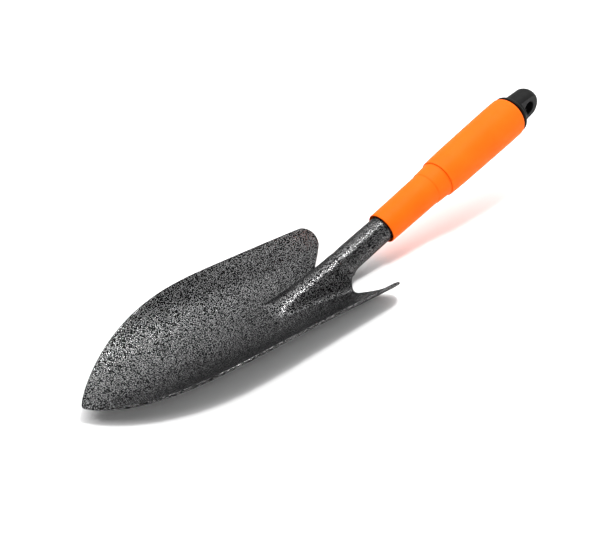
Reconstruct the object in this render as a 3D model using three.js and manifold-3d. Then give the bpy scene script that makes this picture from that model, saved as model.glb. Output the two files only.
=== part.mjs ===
// Hand trowel: a pressed steel scoop whose neck is rolled into a round socket, and a
// two-piece soft grip over a rigid core, closed by an end cap with a hanging eye.
//
// Units are millimetres. The trowel is designed with the blade's tip at x = 0, the handle
// running towards +X and upwards, and the scoop open towards +Z. At the end of the file the
// whole group is shifted so that its origin is at the centre of the base of its bounding box.

import * as THREE from 'three';
import { mergeVertices } from 'three/addons/utils/BufferGeometryUtils.js';
import Module from 'manifold-3d';

const wasm = await Module();
wasm.setup();

// ---- driving dimensions -------------------------------------------------------------

const CLEARANCE = 0.3;            // gap between touching pieces
const SHEET = 1.5;                // thickness of the pressed steel

// blade
const BLADE_HALF_WIDTH = 39.8;    // greatest half width of the scoop
const BLADE_TAPER_LENGTH = 112;   // the sides are parallel from here back
const BLADE_DEPTH = 15.9;          // height of the side edges over the belly
const BELLY_END = 181;            // the belly's line comes down to the ground here
const TIP_RISE = 9.4;             // height of the tip over the ground
const TIP_START = 0.3;            // the point itself is blunted by this much
const NOTCH_X = 170.2;            // bottom of the notch between wing and neck
const NOTCH_Y = 17;
const NOTCH_FILLET = 3;
const WING_ANGLE = 51 * Math.PI / 180;   // how far the wings lean back
const WING_RADIUS = 5.5;          // rounding of the wings' rear corners
const WING_STRETCH = 1.7;         // the rounding runs this much further along the side edge

// ridge pressed up out of the blade, which turns into the neck
const NOSE_X = 121.8;
const NOSE_HALF_WIDTH = 9.3;
const NOSE_LENGTH = 7;
const NOSE_SLOPE = Math.tan(46 * Math.PI / 180);
const FLANK = 60 * Math.PI / 180; // steepness of the ridge's flanks
const CREST_WIDENING = 1;         // the crest is this much rounder at the nose
const CREST_BEND_X = 162;         // forward of here the crest runs flatter than the neck
const CREST_SLOPE = Math.tan(13 * Math.PI / 180);
const FOOT_ROUNDING = 4;

// handle axis, which leaves the point (AXIS_X, 0, AXIS_Z) at the crank angle
const CRANK = 17 * Math.PI / 180;
const AXIS_X = 168;
const AXIS_Z = 8.2;
const TUBE_RADIUS = 8.4;          // outside of the rolled socket
const NECK_SWELL = 0.2;           // the neck is this much fatter at the blade
const CLOSED_X = 193;             // the rolled edges meet from here on
const SEAM_HALF_GAP = 0.4;

// stations along the handle axis, measured from its base point
const GRIP_START = 43;
const CREASE = 85;
const STEP = 95.6;
const TUBE_END = 105;
const GRIP_END = 169;
const EYE_START = 175;            // the eye's flats begin here
const EYE_HOLE_AT = 182.6;
const EYE_END = 193;
const SPIGOT_START = 62;          // front end of the core, inside the socket
const RIVET_AT = 78;

const LIP_RADIUS = 10.2;
const CREASE_RADIUS = 11;
const SLEEVE_END_RADIUS = 11.9;
const BARREL_START_RADIUS = 12.75;
const BARREL_MID_RADIUS = 13.7;
const BARREL_END_RADIUS = 14;
const CORE_RADIUS = 9.6;
const PLUG_RADIUS = 6;
const RIVET_RADIUS = 2;
const FLANGE_RADIUS = 13.4;
const FLANGE_THICKNESS = 2.2;
const EYE_ROOT_RADIUS = 11;       // the eye is a round stub with two flats,
const EYE_RADIUS = 9.7;           // a little thicker at its root
const EYE_ROUNDING = 7.2;         // rounding of its end
const EYE_HALF_THICKNESS = 6.3;   // from one flat to the middle
const EYE_HOLE_RADIUS = 4.6;

// ---- materials ----------------------------------------------------------------------

const hammeredPaint = new THREE.MeshStandardMaterial({ color: 0x3c3d3f, roughness: 0.4, metalness: 0.5 });
const orangeRubber = new THREE.MeshStandardMaterial({ color: 0xff6a1c, roughness: 0.6, metalness: 0 });
const blackPlastic = new THREE.MeshStandardMaterial({ color: 0x121214, roughness: 0.45, metalness: 0 });
const bareSteel = new THREE.MeshStandardMaterial({ color: 0xb4b6b8, roughness: 0.35, metalness: 1 });

// ---- small helpers ------------------------------------------------------------------

const clamp01 = (value) => Math.min(1, Math.max(0, value));
const lerp = (a, b, t) => a + (b - a) * t;
const smoothStep = (t) => clamp01(t) ** 2 * (3 - 2 * clamp01(t));

// The greater or smaller of two heights, rounded over where they differ by less than the width.
const smoothMax = (a, b, width) => Math.max(a, b) + Math.max(0, width - Math.abs(a - b)) ** 2 / (4 * width);
const smoothMin = (a, b, width) => -smoothMax(-a, -b, width);

function toSolid(geometry) {
  const bare = geometry.clone();
  bare.deleteAttribute('normal');
  bare.deleteAttribute('uv');
  const merged = mergeVertices(bare, 1e-4);
  return new wasm.Manifold(new wasm.Mesh({
    numProp: 3,
    vertProperties: new Float32Array(merged.attributes.position.array),
    triVerts: new Uint32Array(merged.index.array),
  }));
}

function toGeometry(solid) {
  const mesh = solid.getMesh();
  const geometry = new THREE.BufferGeometry();
  geometry.setAttribute('position', new THREE.BufferAttribute(new Float32Array(mesh.vertProperties), 3));
  geometry.setIndex(new THREE.BufferAttribute(new Uint32Array(mesh.triVerts), 1));
  geometry.computeVertexNormals();
  return geometry;
}

function namedMesh(name, geometry, material) {
  const mesh = new THREE.Mesh(geometry, material);
  mesh.name = name;
  return mesh;
}

// A round body about +Z from a list of [radius, height] points.
function turned(profile, sides) {
  const points = profile.map(([radius, height]) => new THREE.Vector2(radius, height));
  return new THREE.LatheGeometry(points, sides).rotateX(Math.PI / 2);
}

// A pin across the handle axis, along Y, centred on the axis at height `along`.
function crossPin(radius, halfLength, along, sides) {
  return new THREE.CylinderGeometry(radius, radius, 2 * halfLength, sides).translate(0, 0, along);
}

// ---- the pressed sheet's middle surface ---------------------------------------------

const axisHeight = (x) => AXIS_Z + (x - AXIS_X) * Math.tan(CRANK);
const alongToX = (along) => AXIS_X + along * Math.cos(CRANK);

// Radius of the neck's middle surface, a little fatter at the blade end.
function neckRadius(x) {
  const swell = NECK_SWELL * clamp01((alongToX(GRIP_START) - x) / (alongToX(GRIP_START) - NOTCH_X));
  return TUBE_RADIUS - SHEET / 2 + swell;
}

// Half width of the blade at x, from a softly pointed tip to parallel sides.
function halfWidth(x) {
  const taper = 1 - clamp01(1 - x / BLADE_TAPER_LENGTH) ** 3;
  return BLADE_HALF_WIDTH * taper ** 0.85;
}

// The scoop without its ridge: a round trough at the tip, flatter bottomed at the rear.
function troughHeight(x, y) {
  const belly = TIP_RISE * Math.max(0, 1 - x / BELLY_END) ** 0.84 - SHEET / 2;
  const flatness = 2.2 + 1.7 * Math.min(1, x / NOTCH_X) ** 2;
  return belly + BLADE_DEPTH * (Math.abs(y) / BLADE_HALF_WIDTH) ** flatness;
}

// Height of the ridge's crest: the top of the neck, carried on forward at a flatter slope.
function crestHeight(x) {
  const neckTop = (place) => axisHeight(place) + neckRadius(place) / Math.cos(CRANK);
  const ridgeTop = neckTop(CREST_BEND_X) + (x - CREST_BEND_X) * CREST_SLOPE;
  return smoothMax(neckTop(x), ridgeTop, 0.6);
}

// Drop of the ridge's surface from its crest: a round crest and then straight flanks.
function crestDrop(y, radius) {
  const reach = radius * Math.sin(FLANK);
  if (y < reach) {
    return (radius - Math.sqrt(radius ** 2 - y ** 2)) / Math.cos(CRANK);
  }
  return (radius * (1 - Math.cos(FLANK)) + (y - reach) * Math.tan(FLANK)) / Math.cos(CRANK);
}

// The whole blade as a height over the plan: trough and ridge with a filleted foot.
function bladeHeight(x, y) {
  const side = Math.abs(y);
  const trough = troughHeight(x, y);
  const floor = troughHeight(x, 0);
  const crest = floor + smoothMax(crestHeight(x) - floor, 0, FOOT_ROUNDING);
  const toNose = clamp01((AXIS_X - x) / (AXIS_X - NOSE_X));
  const flanks = crest - crestDrop(side, neckRadius(x) + CREST_WIDENING * toNose ** 1.5);
  const noseSide = Math.min(1, side / NOSE_HALF_WIDTH);
  const noseFront = NOSE_X + NOSE_LENGTH * (1 - (1 - noseSide ** 3) ** (1 / 3));
  const ramp = trough + NOSE_SLOPE * (x - noseFront);
  return smoothMax(trough, smoothMin(flanks, ramp, 2), FOOT_ROUNDING);
}

// The wing's rear edge in plan: where its fillet and its straight part end, and its corner arc.
const wingCorner = (() => {
  const filletEnd = [
    NOTCH_X + NOTCH_FILLET * (1 - Math.cos(WING_ANGLE)),
    NOTCH_Y + NOTCH_FILLET * Math.sin(WING_ANGLE),
  ];
  const centreY = BLADE_HALF_WIDTH - WING_RADIUS;
  const lineEndY = centreY - WING_RADIUS * Math.sin(WING_ANGLE);
  const lineEndX = filletEnd[0] + (lineEndY - filletEnd[1]) * Math.tan(WING_ANGLE);
  return {
    filletEnd,
    lineEnd: [lineEndX, lineEndY],
    centre: [lineEndX - WING_RADIUS * Math.cos(WING_ANGLE), centreY],
    middleAngle: (Math.PI / 2 - WING_ANGLE) / 2,
  };
})();

// The wing's rounded corner: angle 0 points to the rear, a quarter turn is the side edge.
function cornerPoint(angle) {
  const [x, y] = wingCorner.centre;
  const reach = angle > 0 ? WING_RADIUS * WING_STRETCH : WING_RADIUS;
  return [x + WING_RADIUS - reach * (1 - Math.cos(angle)), y + WING_RADIUS * Math.sin(angle)];
}

// Plan of the wing's rear edge from the notch (0) to the middle of the corner arc (1).
function rearEdge(fraction) {
  const filletLength = NOTCH_FILLET * WING_ANGLE;
  const { filletEnd, lineEnd, middleAngle } = wingCorner;
  const lineLength = Math.hypot(lineEnd[0] - filletEnd[0], lineEnd[1] - filletEnd[1]);
  const arcLength = WING_RADIUS * (middleAngle + WING_ANGLE);
  const run = fraction * (filletLength + lineLength + arcLength);
  if (run < filletLength) {
    const turn = run / NOTCH_FILLET;
    return [NOTCH_X + NOTCH_FILLET * (1 - Math.cos(turn)), NOTCH_Y + NOTCH_FILLET * Math.sin(turn)];
  }
  if (run < filletLength + lineLength) {
    const t = (run - filletLength) / lineLength;
    return [lerp(filletEnd[0], lineEnd[0], t), lerp(filletEnd[1], lineEnd[1], t)];
  }
  return cornerPoint((run - filletLength - lineLength) / WING_RADIUS - WING_ANGLE);
}

// The neck behind the notch: sections that curl from the ridge's shape into a tube. A
// straight skirt below the curl runs out, and the two shapes blend over a short length.
function neckPoint(x, filletY, t) {
  const radius = neckRadius(x);
  const skirtLength = 13;
  const blendLength = 9;
  const closing = smoothStep((x - NOTCH_X) / (CLOSED_X - NOTCH_X));
  const fullTurn = Math.PI - SEAM_HALF_GAP / radius;
  const arc = lerp(FLANK, fullTurn, closing);
  const skirt = Math.max(0, skirtLength - (x - NOTCH_X));
  const run = t * (radius * arc + skirt);
  const angle = Math.min(arc, run / radius);
  const past = Math.max(0, run - radius * arc);
  const rolledY = radius * Math.sin(angle) + past * Math.cos(arc);
  const rolledZ = axisHeight(x) + (radius * Math.cos(angle) - past * Math.sin(arc)) / Math.cos(CRANK);
  const blend = smoothStep((x - NOTCH_X) / blendLength);
  const pressedY = t * filletY;
  return [lerp(pressedY, rolledY, blend), lerp(bladeHeight(x, pressedY), rolledZ, blend)];
}

// Inside the grip the sections turn square to the handle axis, so the tube ends square.
function squareToAxis(point) {
  const turned = smoothStep((point.x - CLOSED_X) / (alongToX(GRIP_START) - CLOSED_X));
  const shift = -turned * (point.z - axisHeight(point.x)) * Math.sin(CRANK) * Math.cos(CRANK);
  return new THREE.Vector3(point.x + shift, point.y, point.z + shift * Math.tan(CRANK));
}

// ---- meshing the sheet --------------------------------------------------------------

const ROWS = 40;
const CORNER_ROWS = 4;
const NECK_COLUMNS = 9;
const WING_COLUMNS = 6;
const COLUMNS = NECK_COLUMNS + WING_COLUMNS;

// Places along the centre line of the blade's rows: close at the tip and at the ridge.
function rowX(row) {
  const t = row / ROWS;
  return NOTCH_X * (0.3 * t + 1.4 * t ** 2 - 0.7 * t ** 3);
}

// The outer end of each row: along the side edge, then round the wing's corner.
function sidePoint(row) {
  const lastStraight = ROWS - CORNER_ROWS;
  if (row <= lastStraight) {
    const x = rowX(row) * cornerPoint(Math.PI / 2)[0] / rowX(lastStraight);
    return [x, halfWidth(x)];
  }
  return cornerPoint(lerp(Math.PI / 2, wingCorner.middleAngle, (row - lastStraight) / CORNER_ROWS));
}

function bladePlan(row, column) {
  const notchShare = NOTCH_Y / BLADE_HALF_WIDTH;
  const inNeck = column <= NECK_COLUMNS;
  const wingShare = (column - NECK_COLUMNS) / WING_COLUMNS;
  const share = inNeck ? notchShare * column / NECK_COLUMNS : lerp(notchShare, 1, wingShare);
  const rear = inNeck ? [NOTCH_X, share * BLADE_HALF_WIDTH] : rearEdge(wingShare);
  const pull = (row / ROWS) ** 8;
  const plan = (s, end) => [
    rowX(row) + pull * (end[0] - NOTCH_X),
    s * halfWidth(rowX(row)) + pull * (end[1] - s * BLADE_HALF_WIDTH),
  ];
  const here = plan(share, rear);
  const outermost = plan(1, rearEdge(1));
  const edge = sidePoint(row);
  return [0, 1].map((k) => here[k] + share ** 2 * (edge[k] - outermost[k]));
}

// Sections of the neck: close round the notch's fillet, wider along the tube.
function neckStations() {
  const filletLength = 6.5;
  const filletDepth = 8;
  const stations = [1, 2, 3, 4, 5].map((step) => {
    const turn = step * Math.PI / 10;
    return [NOTCH_X + filletLength * (1 - Math.cos(turn)), NOTCH_Y - filletDepth * Math.sin(turn)];
  });
  const filletY = NOTCH_Y - filletDepth;
  const tube = [GRIP_START, STEP, TUBE_END].map(alongToX);
  [181, 184, 187, 190, CLOSED_X, 198, ...tube].forEach((x) => stations.push([x, filletY]));
  return stations;
}

function sheetMiddle() {
  const points = [];
  const triangles = [];
  const addRow = (columns, pointAt) => {
    const row = [];
    for (let column = -columns; column <= columns; column += 1) {
      row.push(points.length);
      points.push(pointAt(Math.abs(column), Math.sign(column) || 1));
    }
    return row;
  };
  const join = (front, back) => {
    for (let k = 0; k + 1 < front.length; k += 1) {
      triangles.push([front[k], back[k], back[k + 1]], [front[k], back[k + 1], front[k + 1]]);
    }
  };
  const tip = points.length;
  points.push(new THREE.Vector3(TIP_START, 0, bladeHeight(0, 0)));
  let last = null;
  for (let row = 1; row <= ROWS; row += 1) {
    const next = addRow(COLUMNS, (column, sign) => {
      const [x, y] = bladePlan(row, column);
      return new THREE.Vector3(x, sign * y, bladeHeight(x, y));
    });
    if (last) {
      join(last, next);
    } else {
      for (let k = 0; k + 1 < next.length; k += 1) {
        triangles.push([tip, next[k], next[k + 1]]);
      }
    }
    last = next;
  }
  last = last.slice(WING_COLUMNS, last.length - WING_COLUMNS);
  neckStations().forEach(([x, filletY]) => {
    const next = addRow(NECK_COLUMNS, (column, sign) => {
      const [y, z] = neckPoint(x, filletY, column / NECK_COLUMNS);
      return squareToAxis(new THREE.Vector3(x, sign * y, z));
    });
    join(last, next);
    last = next;
  });
  return { points, triangles };
}

// Give a surface its thickness: offset it both ways and close the rim.
function thicken({ points, triangles }, thickness) {
  const normals = points.map(() => new THREE.Vector3());
  const edges = new Set();
  triangles.forEach(([a, b, c]) => {
    const normal = new THREE.Vector3().subVectors(points[b], points[a]);
    normal.cross(new THREE.Vector3().subVectors(points[c], points[a]));
    [a, b, c].forEach((corner) => normals[corner].add(normal));
    [[a, b], [b, c], [c, a]].forEach(([from, to]) => edges.add(`${from} ${to}`));
  });
  const position = [];
  [1, -1].forEach((side) => points.forEach((point, k) => {
    const moved = normals[k].clone().normalize().multiplyScalar(side * thickness / 2).add(point);
    position.push(moved.x, moved.y, moved.z);
  }));
  const under = points.length;
  const index = [];
  triangles.forEach(([a, b, c]) => index.push(a, b, c, c + under, b + under, a + under));
  edges.forEach((edge) => {
    const [a, b] = edge.split(' ').map(Number);
    if (!edges.has(`${b} ${a}`)) {
      index.push(a, a + under, b + under, a, b + under, b);
    }
  });
  const geometry = new THREE.BufferGeometry();
  geometry.setAttribute('position', new THREE.Float32BufferAttribute(position, 3));
  geometry.setIndex(index);
  geometry.computeVertexNormals();
  return geometry;
}

// ---- the pieces ---------------------------------------------------------------------

// Turns a handle piece, made about +Z, into the handle's place.
function onHandleAxis(geometry) {
  return geometry.rotateY(Math.PI / 2 - CRANK).translate(AXIS_X, 0, AXIS_Z);
}

function makeHead() {
  const sheet = toSolid(thicken(sheetMiddle(), SHEET));
  const hole = toSolid(onHandleAxis(crossPin(RIVET_RADIUS + CLEARANCE, 20, RIVET_AT, 20)));
  return namedMesh('head', toGeometry(sheet.subtract(hole)), hammeredPaint);
}

function makeCore() {
  const spigotRadius = TUBE_RADIUS - SHEET - CLEARANCE;
  const plugBore = PLUG_RADIUS + CLEARANCE;
  const shoulder = TUBE_END + 1;
  const boreEnd = GRIP_END - 20;
  const body = toSolid(turned([
    [0, SPIGOT_START],
    [spigotRadius - 1, SPIGOT_START],
    [spigotRadius, SPIGOT_START + 1],
    [spigotRadius, shoulder],
    [CORE_RADIUS, shoulder],
    [CORE_RADIUS, GRIP_END - 1],
    [plugBore, GRIP_END - 1],
    [plugBore, boreEnd],
    [0, boreEnd],
  ], 32));
  const hole = toSolid(crossPin(RIVET_RADIUS + CLEARANCE, 20, RIVET_AT, 20));
  return namedMesh('handle_core', onHandleAxis(toGeometry(body.subtract(hole))), blackPlastic);
}

function makeRivet() {
  const halfLength = TUBE_RADIUS - 0.1;
  const rivet = crossPin(RIVET_RADIUS, halfLength, RIVET_AT, 20);
  return namedMesh('socket_rivet', onHandleAxis(rivet), bareSteel);
}

function makeFrontSleeve() {
  const bore = TUBE_RADIUS + CLEARANCE;
  const mouth = bore + 0.9;
  const profile = [
    [mouth, GRIP_START],
    [LIP_RADIUS - 0.4, GRIP_START],
    [LIP_RADIUS, GRIP_START + 0.5],
    [CREASE_RADIUS, CREASE],
    [SLEEVE_END_RADIUS - 0.2, STEP - 1.5],
    [SLEEVE_END_RADIUS, STEP],
    [bore, STEP],
    [bore, GRIP_START + 4],
    [mouth, GRIP_START],
  ];
  return namedMesh('grip_front_sleeve', onHandleAxis(turned(profile, 48)), orangeRubber);
}

function makeBarrel() {
  const start = STEP + CLEARANCE;
  const frontBore = TUBE_RADIUS + CLEARANCE;
  const rearBore = CORE_RADIUS + CLEARANCE;
  const shoulder = TUBE_END + 1 - CLEARANCE;
  const swellAt = lerp(STEP, GRIP_END, 0.5);
  const endRound = 2.5;
  const rounding = [0.25, 0.5, 0.75, 1].map((share) => {
    const turn = share * Math.PI / 2;
    return [
      BARREL_END_RADIUS - endRound * (1 - Math.cos(turn)),
      GRIP_END - endRound * (1 - Math.sin(turn)),
    ];
  });
  const profile = [
    [frontBore, start],
    [SLEEVE_END_RADIUS - 0.3, start],
    [BARREL_START_RADIUS, start + 0.8],
    [BARREL_MID_RADIUS, swellAt],
    [BARREL_END_RADIUS, GRIP_END - endRound],
    ...rounding,
    [rearBore, GRIP_END],
    [rearBore, shoulder],
    [frontBore, shoulder],
    [frontBore, start],
  ];
  return namedMesh('grip_barrel', onHandleAxis(turned(profile, 48)), orangeRubber);
}

// A block that cuts one of the eye's two flats.
function flatCutter(side) {
  const size = 30;
  const block = new THREE.BoxGeometry(size, size, size);
  return block.translate(0, side * (EYE_HALF_THICKNESS + size / 2), EYE_START + size / 2);
}

function makeEndCap() {
  const seat = GRIP_END + CLEARANCE;
  const flangeTop = seat + FLANGE_THICKNESS;
  const plugEnd = GRIP_END - 19;
  const endRounding = [];
  for (let step = 0; step <= 6; step += 1) {
    const turn = step * Math.PI / 12;
    endRounding.push([
      EYE_RADIUS - EYE_ROUNDING * (1 - Math.cos(turn)),
      EYE_END - EYE_ROUNDING * (1 - Math.sin(turn)),
    ]);
  }
  const round = toSolid(turned([
    [0, plugEnd],
    [PLUG_RADIUS - 1, plugEnd],
    [PLUG_RADIUS, plugEnd + 1],
    [PLUG_RADIUS, seat],
    [FLANGE_RADIUS - 0.6, seat],
    [FLANGE_RADIUS, seat + 0.6],
    [FLANGE_RADIUS - 0.6, flangeTop],
    [EYE_ROOT_RADIUS, flangeTop + 0.8],
    ...endRounding,
    [0, EYE_END],
  ], 48));
  const hole = toSolid(crossPin(EYE_HOLE_RADIUS, 20, EYE_HOLE_AT, 32));
  const cap = round.subtract(toSolid(flatCutter(1))).subtract(toSolid(flatCutter(-1))).subtract(hole);
  return namedMesh('end_cap', onHandleAxis(toGeometry(cap)), blackPlastic);
}

const trowel = new THREE.Group();
trowel.name = 'hand_trowel';
trowel.add(makeHead(), makeCore(), makeRivet(), makeFrontSleeve(), makeBarrel(), makeEndCap());

const box = new THREE.Box3().setFromObject(trowel);
const centre = box.getCenter(new THREE.Vector3());
trowel.position.set(-centre.x, -centre.y, -box.min.z);
trowel.updateMatrixWorld(true);

export default trowel;
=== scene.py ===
"""Hand trowel: the finished surfaces of a pressed steel trowel with a soft orange grip.

Shapes are worked out in millimetres in a design frame: the blade's tip is at x = 0, the
belly's lowest line is near z = 0 and the handle rises towards +X. The design frame is laid
on the CAD model by its rivet, so every piece lands where the frame says.
"""
import math

import bmesh
import bpy
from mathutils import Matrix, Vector


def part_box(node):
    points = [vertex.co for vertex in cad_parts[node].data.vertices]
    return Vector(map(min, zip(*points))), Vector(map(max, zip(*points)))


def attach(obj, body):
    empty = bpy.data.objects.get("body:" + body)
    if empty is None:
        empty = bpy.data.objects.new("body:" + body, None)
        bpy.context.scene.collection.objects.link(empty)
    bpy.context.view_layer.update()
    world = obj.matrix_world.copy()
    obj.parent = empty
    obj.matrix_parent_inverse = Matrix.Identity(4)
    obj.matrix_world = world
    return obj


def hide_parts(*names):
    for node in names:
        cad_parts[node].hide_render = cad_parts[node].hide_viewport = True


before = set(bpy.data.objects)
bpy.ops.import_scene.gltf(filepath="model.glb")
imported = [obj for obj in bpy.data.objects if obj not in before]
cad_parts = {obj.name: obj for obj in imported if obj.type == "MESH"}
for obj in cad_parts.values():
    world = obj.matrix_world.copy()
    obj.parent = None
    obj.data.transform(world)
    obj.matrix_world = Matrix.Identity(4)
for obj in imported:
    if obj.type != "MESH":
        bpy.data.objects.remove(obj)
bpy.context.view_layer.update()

MM = 0.001

# ---- driving dimensions, in millimetres ------------------------------------------------

# the pressed scoop
SHEET = 1.5                          # thickness of the steel
BLADE_HALF_WIDTH = 39.8
BLADE_TAPER_LENGTH = 112.0           # the sides are parallel from here back
BLADE_DEPTH = 15.9                   # height of the side edges over the belly
BELLY_END = 181.0                    # the belly's line comes down to the ground here
TIP_RISE = 9.4
TIP_START = 0.3                      # the point itself is blunted by this much
NOTCH_X = 170.2                      # bottom of the notch between wing and neck
NOTCH_Y = 17.0
NOTCH_FILLET = 3.0
WING_ANGLE = math.radians(51.0)      # how far the wings lean back
WING_RADIUS = 5.5
WING_STRETCH = 1.7                   # the rounding runs this much further along the side edge

# the ridge pressed into it
NOSE_X = 121.8
NOSE_HALF_WIDTH = 9.3
NOSE_LENGTH = 7.0
NOSE_SLOPE = math.tan(math.radians(46.0))
FLANK = math.radians(60.0)           # steepness of the ridge's flanks
CREST_WIDENING = 1.0                 # the crest is this much rounder at the nose
CREST_BEND_X = 162.0                 # forward of here the crest runs flatter than the neck
CREST_SLOPE = math.tan(math.radians(13.0))
FOOT_ROUNDING = 4.0

# the neck and the handle's axis
CRANK = math.radians(17.0)           # climb of the handle's axis
AXIS_X = 168.0                       # a point on that axis; the handle is measured from it
AXIS_Z = 8.2
TUBE_RADIUS = 8.4                    # outside of the rolled socket
NECK_SWELL = 0.2                     # the neck is this much fatter at the blade
CLOSED_X = 193.0                     # the rolled edges meet from here on
SEAM_HALF_GAP = 0.4

# places along the handle's axis
GRIP_START = 43.0
CREASE = 85.0
STEP = 95.6
TUBE_END = 105.0
GRIP_END = 169.0
EYE_START = 175.0                    # the eye's flats begin here
EYE_HOLE_AT = 182.6
EYE_END = 193.0
RIVET_AT = 78.0

# radii and thicknesses of the handle's pieces
GAP = 0.3                            # left between touching pieces

LIP_RADIUS = 10.2
CREASE_RADIUS = 11.0
SLEEVE_END_RADIUS = 11.9
BARREL_START_RADIUS = 12.75
BARREL_MID_RADIUS = 13.7
BARREL_END_RADIUS = 14.0
CORE_RADIUS = 9.6
PLUG_RADIUS = 6.0
FLANGE_RADIUS = 13.4
FLANGE_THICKNESS = 2.2
EYE_ROOT_RADIUS = 11.0               # the eye is a round stub with two flats
EYE_RADIUS = 9.7
EYE_ROUNDING = 7.2                   # rounding of its end
EYE_HALF_THICKNESS = 6.3             # from one flat to the middle
EYE_HOLE_RADIUS = 4.6

AXIS_START = Vector((AXIS_X, 0, AXIS_Z))
ALONG_AXIS = Vector((math.cos(CRANK), 0, math.sin(CRANK)))
ABOVE_AXIS = Vector((-math.sin(CRANK), 0, math.cos(CRANK)))


def rivet_shift():
    """Where the design frame's origin lies in the CAD model's frame, in metres."""
    low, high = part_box("socket_rivet")
    centre = (low + high) / 2
    designed = Vector((AXIS_X + RIVET_AT * math.cos(CRANK), 0, AXIS_Z + RIVET_AT * math.sin(CRANK)))
    return centre - designed * MM


ORIGIN = rivet_shift()


def to_world(point):
    """A point of the design frame, in metres in the CAD model's frame."""
    return Vector(point) * MM + ORIGIN


# ---- camera, light and floor -------------------------------------------------------------

CAMERA_AZIMUTH = math.radians(-42.7)
CAMERA_ELEVATION = math.radians(35.03)
CAMERA_DISTANCE = 521.1              # in millimetres, like its target
CAMERA_TARGET = (166.2, 20.36, 0.0)
WINDOW_DIRECTION = (0.78, -0.12, 0.61)
WINDOW_BRIGHTNESS = 1.7


def make_camera():
    """A 50 mm camera looking at the target from the given angles and distance."""
    data = bpy.data.cameras.new("camera")
    data.lens = 50
    data.sensor_width = 36
    data.clip_start = 0.01
    data.clip_end = 20
    back = Vector((
        math.sin(CAMERA_AZIMUTH) * math.cos(CAMERA_ELEVATION),
        -math.cos(CAMERA_AZIMUTH) * math.cos(CAMERA_ELEVATION),
        math.sin(CAMERA_ELEVATION),
    ))
    camera = bpy.data.objects.new("camera", data)
    camera.location = to_world(CAMERA_TARGET) + back * CAMERA_DISTANCE * MM
    camera.rotation_euler = back.to_track_quat("Z", "Y").to_euler()
    bpy.context.scene.collection.objects.link(camera)
    bpy.context.scene.camera = camera


def add_area_light(name, location, target, size, power):
    data = bpy.data.lights.new(name, "AREA")
    data.shape = "DISK"
    data.size = size
    data.energy = power
    light = bpy.data.objects.new(name, data)
    light.location = location
    aim = Vector(location) - Vector(target)
    light.rotation_euler = aim.to_track_quat("Z", "Y").to_euler()
    bpy.context.scene.collection.objects.link(light)


def make_world():
    """White round the horizon and darker overhead, with a soft window behind the handle."""
    scene = bpy.context.scene
    scene.view_settings.view_transform = "Standard"
    world = bpy.data.worlds.new("studio")
    world.use_nodes = True
    tree = world.node_tree
    direction = tree.nodes.new("ShaderNodeTexCoord").outputs["Generated"]
    parts = tree.nodes.new("ShaderNodeSeparateXYZ")
    tree.links.new(direction, parts.inputs["Vector"])
    sky = ramp(tree, parts.outputs["Z"], [(0.0, 1.0), (0.25, 1.0), (0.42, 0.1), (1.0, 0.22)])
    facing = node(tree, "ShaderNodeVectorMath", {"operation": "DOT_PRODUCT"})
    tree.links.new(direction, facing.inputs[0])
    facing.inputs[1].default_value = Vector(WINDOW_DIRECTION).normalized()
    window = ramp(tree, facing.outputs["Value"], [(0.87, 0.0), (0.96, 1.0)])
    light = node(tree, "ShaderNodeMix", {"data_type": "RGBA"})
    tree.links.new(window, light.inputs["Factor"])
    tree.links.new(sky, light.inputs["A"])
    light.inputs["B"].default_value = (WINDOW_BRIGHTNESS, WINDOW_BRIGHTNESS, WINDOW_BRIGHTNESS, 1)
    tree.links.new(light.outputs["Result"], tree.nodes["Background"].inputs["Color"])
    scene.world = world


def make_lights():
    add_area_light("overhead", (0.06, 1.04, 2.5), (0, 0, 0), 4.2, 114)
    add_area_light("glint", (0.10, -0.05, 1.1), (0, 0, 0), 0.18, 6.2)
    add_area_light("side", (0.60, -0.62, 0.50), (0, 0, 0.02), 0.5, 1.6)


def make_floor():
    """A plain white disc."""
    floor_mesh = bpy.data.meshes.new("floor")
    radius = 1.1
    sides = 96
    turns = [2 * math.pi * k / sides for k in range(sides)]
    rim = [(radius * math.cos(turn), radius * math.sin(turn), 0) for turn in turns]
    floor_mesh.from_pydata(rim, [], [tuple(range(sides))])
    floor = bpy.data.objects.new("floor", floor_mesh)
    bpy.context.scene.collection.objects.link(floor)
    material = bpy.data.materials.new("floor_white")
    material.use_nodes = True
    shader = material.node_tree.nodes["Principled BSDF"]
    shader.inputs["Base Color"].default_value = (0.92, 0.92, 0.92, 1)
    shader.inputs["Roughness"].default_value = 0.9
    floor_mesh.materials.append(material)


make_camera()


# ---- material helpers --------------------------------------------------------------------

def new_material(name):
    material = bpy.data.materials.new(name)
    material.use_nodes = True
    tree = material.node_tree
    return material, tree, tree.nodes["Principled BSDF"]


def node(tree, kind, settings=None, **inputs):
    made = tree.nodes.new(kind)
    for key, value in (settings or {}).items():
        setattr(made, key, value)
    for key, value in inputs.items():
        socket = made.inputs[key.replace("_", " ")]
        if isinstance(value, bpy.types.NodeSocket):
            tree.links.new(value, socket)
        else:
            socket.default_value = value
    return made


def ramp(tree, factor, stops):
    """A colour ramp whose stops are (position, grey or colour)."""
    made = tree.nodes.new("ShaderNodeValToRGB")
    tree.links.new(factor, made.inputs["Fac"])
    elements = made.color_ramp.elements
    while len(elements) < len(stops):
        elements.new(0.5)
    for element, (position, colour) in zip(elements, stops):
        element.position = position
        if not isinstance(colour, tuple):
            colour = (colour, colour, colour)
        element.color = (*colour, 1)
    return made.outputs["Color"]


def position(tree):
    """The place on the model in metres, which doesn't slide when the camera moves."""
    return tree.nodes.new("ShaderNodeTexCoord").outputs["Object"]


def noise(tree, scale, detail=2.0, distortion=0.0, roughness=0.5):
    made = node(tree, "ShaderNodeTexNoise", Vector=position(tree), Scale=scale, Detail=detail,
                Distortion=distortion, Roughness=roughness)
    return made.outputs["Fac"]


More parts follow.
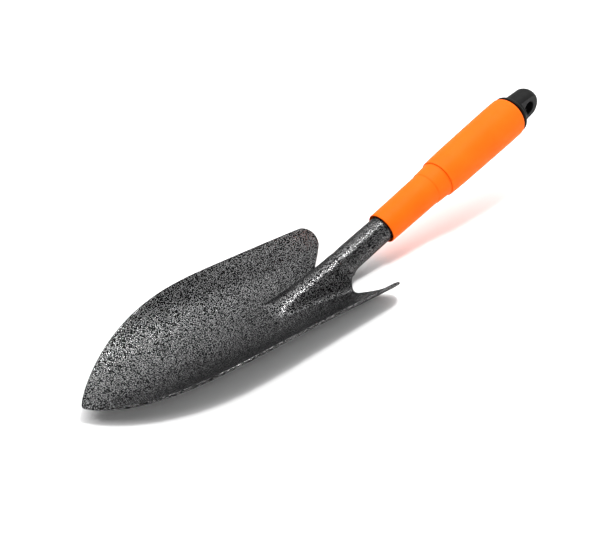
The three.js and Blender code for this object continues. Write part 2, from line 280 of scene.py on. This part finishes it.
def bump(tree, shader, height, distance, strength=1.0):
    made = node(tree, "ShaderNodeBump", Height=height, Distance=distance, Strength=strength)
    tree.links.new(made.outputs["Normal"], shader.inputs["Normal"])


def hammered_paint():
    """Charcoal powder coat: fine silver flecks and a light wrinkle under a clear gloss."""
    material, tree, shader = new_material("hammered_paint")
    wrinkle = noise(tree, 2600, detail=1, distortion=0.3)
    cells = node(tree, "ShaderNodeTexVoronoi", Vector=position(tree), Scale=1700)
    flecks = ramp(tree, cells.outputs["Distance"], [(0.31, 1.0), (0.42, 0.0)])
    colour = node(tree, "ShaderNodeMix", {"data_type": "RGBA"})
    colour.inputs["A"].default_value = (0.002, 0.002, 0.0024, 1)
    colour.inputs["B"].default_value = (0.28, 0.28, 0.282, 1)
    tree.links.new(flecks, colour.inputs["Factor"])
    tree.links.new(colour.outputs["Result"], shader.inputs["Base Color"])
    tree.links.new(flecks, shader.inputs["Metallic"])
    tree.links.new(ramp(tree, flecks, [(0.0, 0.6), (1.0, 0.25)]), shader.inputs["Roughness"])
    shader.inputs["Specular IOR Level"].default_value = 0.04
    shader.inputs["Specular Tint"].default_value = (0.25, 0.25, 0.25, 1)
    shader.inputs["Coat Weight"].default_value = 0.1
    shader.inputs["Coat Roughness"].default_value = 0.08
    bump(tree, shader, wrinkle, 0.0002, 0.45)
    return material


def orange_rubber():
    """Satin soft-touch rubber, bright orange, with a fine grain."""
    material, tree, shader = new_material("orange_rubber")
    tones = [(0.3, (0.98, 0.13, 0.003)), (0.7, (1.0, 0.148, 0.005))]
    tint = ramp(tree, noise(tree, 45, detail=4), tones)
    tree.links.new(tint, shader.inputs["Base Color"])
    wear = ramp(tree, noise(tree, 300, detail=3), [(0.3, 0.48), (0.7, 0.6)])
    tree.links.new(wear, shader.inputs["Roughness"])
    shader.inputs["Specular IOR Level"].default_value = 0.07
    bump(tree, shader, noise(tree, 2600, detail=3), 0.00006, 0.5)
    return material


def black_plastic():
    """Satin moulded plastic with a faint spark-eroded grain."""
    material, tree, shader = new_material("black_plastic")
    tint = ramp(tree, noise(tree, 120, detail=3), [(0.3, 0.001), (0.7, 0.0025)])
    tree.links.new(tint, shader.inputs["Base Color"])
    wear = ramp(tree, noise(tree, 500), [(0.3, 0.42), (0.7, 0.54)])
    tree.links.new(wear, shader.inputs["Roughness"])
    shader.inputs["Specular IOR Level"].default_value = 0.13
    bump(tree, shader, noise(tree, 3500, detail=2), 0.00004, 0.5)
    return material


def core_plastic():
    """Plain dark plastic of the hidden core, with flow marks along it."""
    material, tree, shader = new_material("core_plastic")
    tint = ramp(tree, noise(tree, 80, detail=4, distortion=1.0), [(0.3, 0.02), (0.7, 0.04)])
    tree.links.new(tint, shader.inputs["Base Color"])
    shader.inputs["Roughness"].default_value = 0.5
    bump(tree, shader, noise(tree, 1500, detail=2), 0.00005, 0.5)
    return material


def rivet_steel():
    """Plain turned steel with fine scratches."""
    material, tree, shader = new_material("rivet_steel")
    tint = ramp(tree, noise(tree, 900, detail=3), [(0.3, 0.5), (0.7, 0.66)])
    tree.links.new(tint, shader.inputs["Base Color"])
    shader.inputs["Metallic"].default_value = 1.0
    shader.inputs["Roughness"].default_value = 0.35
    bump(tree, shader, noise(tree, 4000, detail=2), 0.00003, 0.5)
    return material


# ---- the pressed sheet's middle surface ---------------------------------------------------

def clamp01(value):
    return min(1.0, max(0.0, value))


def lerp(a, b, t):
    return a + (b - a) * t


def smooth_step(t):
    t = clamp01(t)
    return t * t * (3 - 2 * t)


def smooth_max(a, b, width):
    """The greater of two heights, rounded over where they differ by less than the width."""
    return max(a, b) + max(0.0, width - abs(a - b)) ** 2 / (4 * width)


def smooth_min(a, b, width):
    return -smooth_max(-a, -b, width)


def axis_height(x):
    return AXIS_Z + (x - AXIS_X) * math.tan(CRANK)


def along_to_x(along):
    return AXIS_X + along * math.cos(CRANK)


def neck_radius(x):
    grip = along_to_x(GRIP_START)
    return TUBE_RADIUS - SHEET / 2 + NECK_SWELL * clamp01((grip - x) / (grip - NOTCH_X))


def half_width(x):
    taper = 1 - clamp01(1 - x / BLADE_TAPER_LENGTH) ** 3
    return BLADE_HALF_WIDTH * taper ** 0.85


def trough_height(x, y):
    """The scoop without its ridge: round at the tip, flatter bottomed at the rear."""
    belly = TIP_RISE * max(0.0, 1 - x / BELLY_END) ** 0.84 - SHEET / 2
    flatness = 2.2 + 1.7 * min(1.0, x / NOTCH_X) ** 2
    return belly + BLADE_DEPTH * (abs(y) / BLADE_HALF_WIDTH) ** flatness


def crest_height(x):
    """Height of the ridge's crest: the top of the neck, carried on forward at a flatter slope."""
    def neck_top(place):
        return axis_height(place) + neck_radius(place) / math.cos(CRANK)

    ridge_top = neck_top(CREST_BEND_X) + (x - CREST_BEND_X) * CREST_SLOPE
    return smooth_max(neck_top(x), ridge_top, 0.6)


def crest_drop(y, radius):
    """Drop of the ridge from its crest: a round crest and then straight flanks."""
    reach = radius * math.sin(FLANK)
    if y < reach:
        return (radius - math.sqrt(radius ** 2 - y ** 2)) / math.cos(CRANK)
    return (radius * (1 - math.cos(FLANK)) + (y - reach) * math.tan(FLANK)) / math.cos(CRANK)


def blade_height(x, y):
    """The whole blade as a height over the plan: trough and ridge with a filleted foot."""
    side = abs(y)
    trough = trough_height(x, y)
    floor = trough_height(x, 0)
    crest = floor + smooth_max(crest_height(x) - floor, 0, FOOT_ROUNDING)
    to_nose = clamp01((AXIS_X - x) / (AXIS_X - NOSE_X))
    flanks = crest - crest_drop(side, neck_radius(x) + CREST_WIDENING * to_nose ** 1.5)
    nose_side = min(1.0, side / NOSE_HALF_WIDTH)
    nose_front = NOSE_X + NOSE_LENGTH * (1 - (1 - nose_side ** 3) ** (1 / 3))
    ramp_height = trough + NOSE_SLOPE * (x - nose_front)
    return smooth_max(trough, smooth_min(flanks, ramp_height, 2), FOOT_ROUNDING)


def wing_corner():
    """The wing's rear edge: where its fillet and straight part end, and its corner arc."""
    fillet_end = (
        NOTCH_X + NOTCH_FILLET * (1 - math.cos(WING_ANGLE)),
        NOTCH_Y + NOTCH_FILLET * math.sin(WING_ANGLE),
    )
    centre_y = BLADE_HALF_WIDTH - WING_RADIUS
    line_end_y = centre_y - WING_RADIUS * math.sin(WING_ANGLE)
    line_end_x = fillet_end[0] + (line_end_y - fillet_end[1]) * math.tan(WING_ANGLE)
    return {
        "fillet_end": fillet_end,
        "line_end": (line_end_x, line_end_y),
        "centre": (line_end_x - WING_RADIUS * math.cos(WING_ANGLE), centre_y),
        "middle_angle": (math.pi / 2 - WING_ANGLE) / 2,
    }


CORNER = wing_corner()


def corner_point(angle):
    """The wing's rounded corner: angle 0 points to the rear, a quarter turn is the side edge."""
    x, y = CORNER["centre"]
    reach = WING_RADIUS * WING_STRETCH if angle > 0 else WING_RADIUS
    return x + WING_RADIUS - reach * (1 - math.cos(angle)), y + WING_RADIUS * math.sin(angle)


def rear_edge(fraction):
    """Plan of the wing's rear edge from the notch (0) to the middle of the corner arc (1)."""
    fillet_end, line_end = CORNER["fillet_end"], CORNER["line_end"]
    fillet_length = NOTCH_FILLET * WING_ANGLE
    line_length = math.dist(fillet_end, line_end)
    arc_length = WING_RADIUS * (CORNER["middle_angle"] + WING_ANGLE)
    run = fraction * (fillet_length + line_length + arc_length)
    if run < fillet_length:
        turn = run / NOTCH_FILLET
        return (
            NOTCH_X + NOTCH_FILLET * (1 - math.cos(turn)),
            NOTCH_Y + NOTCH_FILLET * math.sin(turn),
        )
    if run < fillet_length + line_length:
        t = (run - fillet_length) / line_length
        return (lerp(fillet_end[0], line_end[0], t), lerp(fillet_end[1], line_end[1], t))
    return corner_point((run - fillet_length - line_length) / WING_RADIUS - WING_ANGLE)


def neck_point(x, fillet_y, t):
    """A point of the neck's section at x: from the ridge's shape it curls into a tube."""
    skirt_length = 13.0
    blend_length = 9.0
    radius = neck_radius(x)
    closing = smooth_step((x - NOTCH_X) / (CLOSED_X - NOTCH_X))
    arc = lerp(FLANK, math.pi - SEAM_HALF_GAP / radius, closing)
    skirt = max(0.0, skirt_length - (x - NOTCH_X))
    run = t * (radius * arc + skirt)
    angle = min(arc, run / radius)
    past = max(0.0, run - radius * arc)
    rolled_y = radius * math.sin(angle) + past * math.cos(arc)
    rolled_z = axis_height(x) + (radius * math.cos(angle) - past * math.sin(arc)) / math.cos(CRANK)
    blend = smooth_step((x - NOTCH_X) / blend_length)
    pressed_y = t * fillet_y
    return lerp(pressed_y, rolled_y, blend), lerp(blade_height(x, pressed_y), rolled_z, blend)


def square_to_axis(x, y, z):
    """Inside the grip the sections turn square to the handle axis."""
    turned = smooth_step((x - CLOSED_X) / (along_to_x(GRIP_START) - CLOSED_X))
    shift = -turned * (z - axis_height(x)) * math.sin(CRANK) * math.cos(CRANK)
    return Vector((x + shift, y, z + shift * math.tan(CRANK)))


# ---- meshing the sheet --------------------------------------------------------------------

ROWS = 150                           # across the blade, from the tip back
CORNER_ROWS = 12                     # the rows that end on the wings' corners
NECK_COLUMNS = 36                    # on each side, those that run on into the neck
WING_COLUMNS = 26
COLUMNS = NECK_COLUMNS + WING_COLUMNS
RIM_STEPS = 5
RIM_BULGE = 0.45                     # how far the rounded rim stands out


def row_x(row):
    t = row / ROWS
    return NOTCH_X * (0.3 * t + 1.4 * t ** 2 - 0.7 * t ** 3)


def side_point(row):
    """The outer end of a row: along the side edge, then round the wing's corner."""
    last_straight = ROWS - CORNER_ROWS
    if row <= last_straight:
        x = row_x(row) * corner_point(math.pi / 2)[0] / row_x(last_straight)
        return x, half_width(x)
    return corner_point(lerp(math.pi / 2, CORNER["middle_angle"], (row - last_straight) / CORNER_ROWS))


def blade_plan(row, column):
    """Where a row and a column of the blade's mesh cross, seen from above."""
    notch_share = NOTCH_Y / BLADE_HALF_WIDTH
    wing_share = (column - NECK_COLUMNS) / WING_COLUMNS
    if column <= NECK_COLUMNS:
        share = notch_share * column / NECK_COLUMNS
        rear = (NOTCH_X, share * BLADE_HALF_WIDTH)
    else:
        share = lerp(notch_share, 1, wing_share)
        rear = rear_edge(wing_share)
    pull = (row / ROWS) ** 8
    middle = row_x(row)

    def plan(part, end):
        x = middle + pull * (end[0] - NOTCH_X)
        return x, part * half_width(middle) + pull * (end[1] - part * BLADE_HALF_WIDTH)

    here = plan(share, rear)
    outermost = plan(1, rear_edge(1))
    edge = side_point(row)
    return tuple(here[k] + share ** 2 * (edge[k] - outermost[k]) for k in range(2))


def neck_stations():
    """Places of the neck's sections: close round the notch's fillet, wider along the tube."""
    fillet_length = 6.5
    fillet_depth = 8.0
    stations = []
    for step in range(1, 25):
        turn = step / 24 * math.pi / 2
        stations.append((
            NOTCH_X + fillet_length * (1 - math.cos(turn)),
            NOTCH_Y - fillet_depth * math.sin(turn),
        ))
    fillet_y = NOTCH_Y - fillet_depth
    x = NOTCH_X + fillet_length
    while x < along_to_x(GRIP_START) - 1.5:
        x += 0.9 if x < CLOSED_X else 1.8
        stations.append((x, fillet_y))
    for along in (GRIP_START, GRIP_START + 15, RIVET_AT - 6, RIVET_AT + 6, STEP, TUBE_END):
        stations.append((along_to_x(along), fillet_y))
    return stations


def sheet_middle():
    """The sheet's middle surface: its points and its faces, all facing up or outwards."""
    points = [Vector((TIP_START, 0, blade_height(0, 0)))]
    faces = []

    def add_row(columns, place):
        row = []
        for column in range(-columns, columns + 1):
            row.append(len(points))
            points.append(place(abs(column), -1 if column < 0 else 1))
        return row

    def join(front, back):
        for k in range(len(front) - 1):
            faces.append((front[k], back[k], back[k + 1], front[k + 1]))

    def blade_place(row):
        def place(column, sign):
            x, y = blade_plan(row, column)
            return Vector((x, sign * y, blade_height(x, y)))
        return place

    def neck_place(x, fillet_y):
        def place(column, sign):
            y, z = neck_point(x, fillet_y, column / NECK_COLUMNS)
            return square_to_axis(x, sign * y, z)
        return place

    last = add_row(COLUMNS, blade_place(1))
    faces.extend((0, last[k], last[k + 1]) for k in range(len(last) - 1))
    for row in range(2, ROWS + 1):
        following = add_row(COLUMNS, blade_place(row))
        join(last, following)
        last = following
    last = last[WING_COLUMNS:len(last) - WING_COLUMNS]
    for x, fillet_y in neck_stations():
        following = add_row(NECK_COLUMNS, neck_place(x, fillet_y))
        join(last, following)
        last = following
    return points, faces


def thicken(points, faces, thickness):
    """Give a surface its thickness, with a rounded rim along its free edges."""
    normals = [Vector() for _ in points]
    for face in faces:
        normal = (points[face[1]] - points[face[0]]).cross(points[face[2]] - points[face[0]])
        for corner in face:
            normals[corner] += normal
    for normal in normals:
        normal.normalize()
    following = {}
    sides = {(a, b) for face in faces for a, b in zip(face, face[1:] + face[:1])}
    for a, b in sides:
        if (b, a) not in sides:
            following[a] = b
    under = len(points)
    vertices = [p + n * thickness / 2 for p, n in zip(points, normals)]
    vertices += [p - n * thickness / 2 for p, n in zip(points, normals)]
    solid = list(faces) + [tuple(k + under for k in reversed(face)) for face in faces]
    before = {b: a for a, b in following.items()}
    rim = {}
    for k in following:
        run = (points[following[k]] - points[before[k]]).normalized()
        outward = run.cross(normals[k]).normalized()
        column = [k]
        for step in range(1, RIM_STEPS):
            turn = math.pi * step / RIM_STEPS
            column.append(len(vertices))
            across = normals[k] * math.cos(turn) * thickness / 2
            vertices.append(points[k] + across + outward * math.sin(turn) * RIM_BULGE)
        column.append(k + under)
        rim[k] = column
    for a, b in following.items():
        for step in range(RIM_STEPS):
            solid.append((rim[a][step], rim[a][step + 1], rim[b][step + 1], rim[b][step]))
    return vertices, solid


# ---- making pieces ------------------------------------------------------------------------

def make_piece(name, vertices, faces, material, replaced):
    """A smooth shaded piece in the CAD model's frame, riding on the one body."""
    mesh = bpy.data.meshes.new(name)
    mesh.from_pydata([to_world(v) for v in vertices], [], faces)
    mesh.validate()
    piece = bpy.data.objects.new(name, mesh)
    bpy.context.scene.collection.objects.link(piece)
    mesh.materials.append(material)
    mesh.shade_smooth()
    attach(piece, "root")
    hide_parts(replaced)


def on_axis(radius, angle, along):
    """A point round the handle axis: angle 0 is up, a quarter turn is towards +Y."""
    outward = ABOVE_AXIS * math.cos(angle) + Vector((0, 1, 0)) * math.sin(angle)
    return AXIS_START + ALONG_AXIS * along + outward * radius


def turned(profile, sides):
    """A closed ring of revolution about the handle axis, from (radius, along) points."""
    vertices = [on_axis(r, 2 * math.pi * k / sides, s) for r, s in profile for k in range(sides)]
    faces = []
    count = len(profile)
    for ring in range(count):
        here = ring * sides
        there = (ring + 1) % count * sides
        for k in range(sides):
            following = (k + 1) % sides
            faces.append((here + k, there + k, there + following, here + following))
    return vertices, faces


def spline(points, steps):
    """A smooth curve through (radius, along) points, as a Catmull-Rom chain."""
    def blend(p, q, r, s, t):
        bend = (2 * p - 5 * q + 4 * r - s) * t * t
        twist = (3 * q - p - 3 * r + s) * t ** 3
        return 0.5 * (2 * q + (r - p) * t + bend + twist)

    chain = [points[0], *points, points[-1]]
    curve = []
    for four in zip(chain, chain[1:], chain[2:], chain[3:]):
        for step in range(steps):
            curve.append(tuple(blend(*values, step / steps) for values in zip(*four)))
    curve.append(points[-1])
    return curve


def round_corner(centre, radius, start, end, steps):
    """Points of an arc, with angles measured from the outward direction towards +along."""
    return [
        (centre[0] + radius * math.cos(lerp(start, end, k / steps)),
         centre[1] + radius * math.sin(lerp(start, end, k / steps)))
        for k in range(steps + 1)
    ]


def make_head(material):
    vertices, faces = thicken(*sheet_middle(), SHEET)
    make_piece("trowel_head", vertices, faces, material, "head")


def make_front_sleeve(material):
    """The slim part of the grip, with its flared mouth and the crease ahead of its end."""
    bore = TUBE_RADIUS + GAP
    mouth = bore + 0.9
    lip = 0.45
    quarter = math.pi / 2
    outside = spline([
        (LIP_RADIUS, GRIP_START + 1.5),
        (LIP_RADIUS + 0.2, GRIP_START + 14),
        (CREASE_RADIUS - 0.25, CREASE - 8),
        (CREASE_RADIUS - 0.1, CREASE - 0.8),
        (CREASE_RADIUS + 0.3, CREASE + 0.5),
        (CREASE_RADIUS + 0.55, CREASE + 4.5),
        (SLEEVE_END_RADIUS - 0.1, STEP - 1.2),
    ], 10)
    profile = [
        *reversed(round_corner((LIP_RADIUS - lip, GRIP_START + lip), lip, 0, -quarter, 5)),
        *outside,
        *round_corner((SLEEVE_END_RADIUS - 0.2, STEP), 0.2, 0, quarter, 4),
        (bore, STEP + 0.2),
        (bore, GRIP_START + 4),
        (mouth, GRIP_START + 1),
        (mouth + 0.1, GRIP_START + 0.2),
    ]
    vertices, faces = turned(profile, 128)
    make_piece("front_sleeve", vertices, faces, material, "grip_front_sleeve")


def make_barrel(material):
    """The thick part of the grip, bored for the socket in front and for the core behind."""
    start = STEP + GAP
    front_bore = TUBE_RADIUS + GAP
    rear_bore = CORE_RADIUS + GAP
    shoulder = TUBE_END + 1 - GAP
    end_round = 2.5
    start_round = 0.5
    quarter = math.pi / 2
    outside = spline([
        (BARREL_START_RADIUS, start + start_round + 0.3),
        (BARREL_START_RADIUS + 0.5, start + 12),
        (BARREL_MID_RADIUS, lerp(STEP, GRIP_END, 0.5)),
        (BARREL_END_RADIUS + 0.05, GRIP_END - 14),
        (BARREL_END_RADIUS, GRIP_END - end_round),
    ], 10)
    start_centre = (BARREL_START_RADIUS - start_round, start + start_round)
    end_centre = (BARREL_END_RADIUS - end_round, GRIP_END - end_round)
    profile = [
        (front_bore, start),
        *reversed(round_corner(start_centre, start_round, 0, -quarter, 5)),
        *outside,
        *round_corner(end_centre, end_round, 0, quarter, 10)[1:],
        (rear_bore, GRIP_END),
        (rear_bore, shoulder),
        (front_bore, shoulder),
    ]
    vertices, faces = turned(profile, 128)
    make_piece("grip_barrel_skin", vertices, faces, material, "grip_barrel")


# ---- end cap ------------------------------------------------------------------------------

def cap_point(across, y, along):
    """A point given by its height above the handle's axis, its y and its place along."""
    return AXIS_START + ALONG_AXIS * along + ABOVE_AXIS * across + Vector((0, y, 0))


def circle(radius, sides):
    return [
        (radius * math.cos(2 * math.pi * k / sides), radius * math.sin(2 * math.pi * k / sides))
        for k in range(sides)
    ]


def lofted(rings):
    """A closed solid through rings of (across, y) points at stations along the handle."""
    vertices = []
    faces = []
    for along, outline in rings:
        vertices += [cap_point(across, y, along) for across, y in outline]
    sides = len(rings[0][1])
    for ring in range(len(rings) - 1):
        here = ring * sides
        there = here + sides
        for k in range(sides):
            following = (k + 1) % sides
            faces.append((here + k, there + k, there + following, here + following))
    faces.append(tuple(reversed(range(sides))))
    faces.append(tuple(range((len(rings) - 1) * sides, len(rings) * sides)))
    return vertices, faces


def plain_object(name, vertices, faces):
    """An object with no material, with its faces turned outwards."""
    mesh = bpy.data.meshes.new(name)
    mesh.from_pydata([to_world(v) for v in vertices], [], faces)
    made = bpy.data.objects.new(name, mesh)
    bpy.context.scene.collection.objects.link(made)
    editable = bmesh.new()
    editable.from_mesh(mesh)
    bmesh.ops.recalc_face_normals(editable, faces=editable.faces)
    editable.to_mesh(mesh)
    editable.free()
    return made


def apply_modifiers(piece):
    graph = bpy.context.evaluated_depsgraph_get()
    finished = bpy.data.meshes.new_from_object(piece.evaluated_get(graph))
    piece.modifiers.clear()
    piece.data = finished


def make_flat_cutter(side):
    """A block that cuts one of the eye's two flats."""
    size = 30.0
    half = size / 2
    outline = [(-half, -half), (half, -half), (half, half), (-half, half)]
    middle = side * (EYE_HALF_THICKNESS + half)
    block = [(across, middle + y) for across, y in outline]
    return plain_object("flat_cutter", *lofted([(EYE_START, block), (EYE_START + size, block)]))


def make_eye_drill():
    """A rod across the handle that cuts the hanging hole."""
    sides = 64
    vertices = [
        cap_point(across, side * 20, EYE_HOLE_AT + along)
        for side in (-1, 1) for across, along in circle(EYE_HOLE_RADIUS, sides)
    ]
    faces = [tuple(range(sides)), tuple(reversed(range(sides, 2 * sides)))]
    for k in range(sides):
        following = (k + 1) % sides
        faces.append((k, k + sides, following + sides, following))
    return plain_object("eye_drill", vertices, faces)


def cap_profile():
    """The cap's outline before it is cut, from plug to eye, as (along, radius) points."""
    seat = GRIP_END + GAP
    flange_top = seat + FLANGE_THICKNESS
    plug_end = GRIP_END - 19
    profile = [
        (plug_end, PLUG_RADIUS - 1),
        (plug_end + 1, PLUG_RADIUS),
        (seat, PLUG_RADIUS),
        (seat, FLANGE_RADIUS - 0.4),
        (seat + 0.4, FLANGE_RADIUS),
        (flange_top - 0.6, FLANGE_RADIUS),
        (flange_top, FLANGE_RADIUS - 0.5),
        (flange_top + 0.2, EYE_ROOT_RADIUS + 0.6),
        (flange_top + 0.8, EYE_ROOT_RADIUS),
    ]
    for step in range(17):
        turn = step / 16 * math.pi / 2
        profile.append((
            EYE_END - EYE_ROUNDING * (1 - math.sin(turn)),
            EYE_RADIUS - EYE_ROUNDING * (1 - math.cos(turn)),
        ))
    return profile


def make_end_cap(material):
    """The cap, turned from its profile, then cut by the two flats and the hole and softened."""
    rings = [(along, circle(radius, 96)) for along, radius in cap_profile()]
    body = plain_object("cap_body", *lofted(rings))
    for tool in (make_flat_cutter(1), make_flat_cutter(-1), make_eye_drill()):
        cut = body.modifiers.new(tool.name, "BOOLEAN")
        cut.object = tool
        cut.operation = "DIFFERENCE"
        cut.solver = "EXACT"
        apply_modifiers(body)
        bpy.data.objects.remove(tool)
    remesh = body.modifiers.new("remesh", "REMESH")
    remesh.mode = "VOXEL"
    remesh.voxel_size = 0.3 * MM
    soften = body.modifiers.new("soften", "SMOOTH")
    soften.iterations = 6
    soften.factor = 0.5
    apply_modifiers(body)
    body.data.materials.clear()
    body.data.materials.append(material)
    body.data.shade_smooth()
    body.name = "cap_with_eye"
    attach(body, "root")
    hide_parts("end_cap")


def give_material(node_name, material):
    """Dress a hidden piece, which is shown by its CAD node."""
    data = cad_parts[node_name].data
    data.materials.clear()
    data.materials.append(material)


make_world()
make_lights()
make_floor()
rubber = orange_rubber()
make_head(hammered_paint())
make_front_sleeve(rubber)
make_barrel(rubber)
make_end_cap(black_plastic())
give_material("handle_core", core_plastic())
give_material("socket_rivet", rivet_steel())
